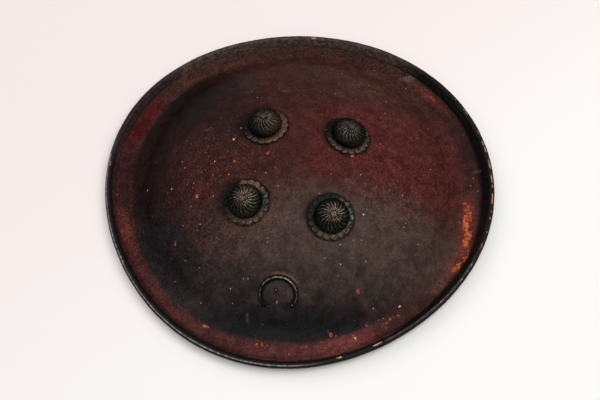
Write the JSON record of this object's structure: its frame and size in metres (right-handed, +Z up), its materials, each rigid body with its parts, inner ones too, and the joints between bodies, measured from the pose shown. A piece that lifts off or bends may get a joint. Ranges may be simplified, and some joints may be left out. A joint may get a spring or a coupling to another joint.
{
  "type": "dhal shield",
  "caption": "Round domed hide shield with an upturned bound rim, iron bosses and a crescent on its face, and a cushion and ring-hung hand grips inside.",
  "frame": {"origin": "middle of the shield's outline, on the surface that it lies on face up", "axes": "+Z up through the crown of the dome, +Y from the crescent towards the bosses, +X to the right with the crescent nearest the viewer"},
  "size_m": [0.4658, 0.4538, 0.0989],
  "materials": {
    "lacquered_hide": "dark maroon-black lacquer on rawhide, satin gloss, finely crazed, rubbed and chipped to orange-red",
    "binding_hide": "black lacquered hide strip, glossy on its bead, chipped to pale rawhide at its joint",
    "boss_iron": "dark green-black oiled iron, chased with flutes and lobes, brown and old gold in its hollows",
    "ring_iron": "dark forged iron, worn brighter where it rubs",
    "cushion_cloth": "faded dark red cotton velvet, quilted and worn",
    "grip_cloth": "faded dark red cotton velvet over padding, rubbed flat on the palm side",
    "strap_leather": "brown vegetable-tanned leather, dry and creased",
    "binding_thread": "ochre cotton thread, wound close"
  },
  "bodies": {
    "shell": {"hide_bowl": "lacquered_hide", "rim_binding": "binding_hide", "boss_dome_back_left": "boss_iron", "boss_dome_back_right": "boss_iron", "boss_dome_front_left": "boss_iron", "boss_dome_front_right": "boss_iron", "boss_rosette_back_left": "boss_iron", "boss_rosette_back_right": "boss_iron", "boss_rosette_front_left": "boss_iron", "boss_rosette_front_right": "boss_iron", "ring_bolt_back_left": "ring_iron", "ring_bolt_back_right": "ring_iron", "ring_bolt_front_left": "ring_iron", "ring_bolt_front_right": "ring_iron", "ring_washer_back_left": "ring_iron", "ring_washer_back_right": "ring_iron", "ring_washer_front_left": "ring_iron", "ring_washer_front_right": "ring_iron", "cushion": "cushion_cloth", "crescent": "boss_iron", "crescent_nail_left": "ring_iron", "crescent_nail_right": "ring_iron", "centre_nail": "ring_iron"},
    "ring_front_left": {"grip_ring_front_left": "ring_iron"},
    "ring_back_left": {"grip_ring_back_left": "ring_iron"},
    "grip_left": {"grip_strap_left": "strap_leather", "grip_pad_left": "grip_cloth", "grip_tie_left_front": "binding_thread", "grip_tie_left_back": "binding_thread"},
    "ring_front_right": {"grip_ring_front_right": "ring_iron"},
    "ring_back_right": {"grip_ring_back_right": "ring_iron"},
    "grip_right": {"grip_strap_right": "strap_leather", "grip_pad_right": "grip_cloth", "grip_tie_right_front": "binding_thread", "grip_tie_right_back": "binding_thread"}
  },
  "joints": [
    {"name": "left_front_ring_swing", "type": "hinge", "parent": "shell", "child": "ring_front_left", "pos_m": [-0.03952, -0.06138, 0.05193], "axis": [1, 0, 0], "range_deg": [-55, 55]},
    {"name": "left_grip_pivot", "type": "hinge", "parent": "ring_front_left", "child": "grip_left", "pos_m": [-0.03952, -0.06138, 0.02893], "axis": [1, 0, 0], "range_deg": [-55, 55]},
    {"name": "left_back_ring_swing", "type": "hinge", "parent": "shell", "child": "ring_back_left", "pos_m": [-0.03952, 0.02907, 0.0594], "axis": [1, 0, 0], "range_deg": [-55, 55]},
    {"name": "right_front_ring_swing", "type": "hinge", "parent": "shell", "child": "ring_front_right", "pos_m": [0.04849, -0.0597, 0.05086], "axis": [1, 0, 0], "range_deg": [-55, 55]},
    {"name": "right_grip_pivot", "type": "hinge", "parent": "ring_front_right", "child": "grip_right", "pos_m": [0.04849, -0.0597, 0.02786], "axis": [1, 0, 0], "range_deg": [-55, 55]},
    {"name": "right_back_ring_swing", "type": "hinge", "parent": "shell", "child": "ring_back_right", "pos_m": [0.04849, 0.03631, 0.05706], "axis": [1, 0, 0], "range_deg": [-55, 55]}
  ],
  "couplings": [
    {"joint": "left_grip_pivot", "follows": "left_front_ring_swing", "ratio": -1},
    {"joint": "left_back_ring_swing", "follows": "left_front_ring_swing", "ratio": 1},
    {"joint": "right_grip_pivot", "follows": "right_front_ring_swing", "ratio": -1},
    {"joint": "right_back_ring_swing", "follows": "right_front_ring_swing", "ratio": 1}
  ]
}
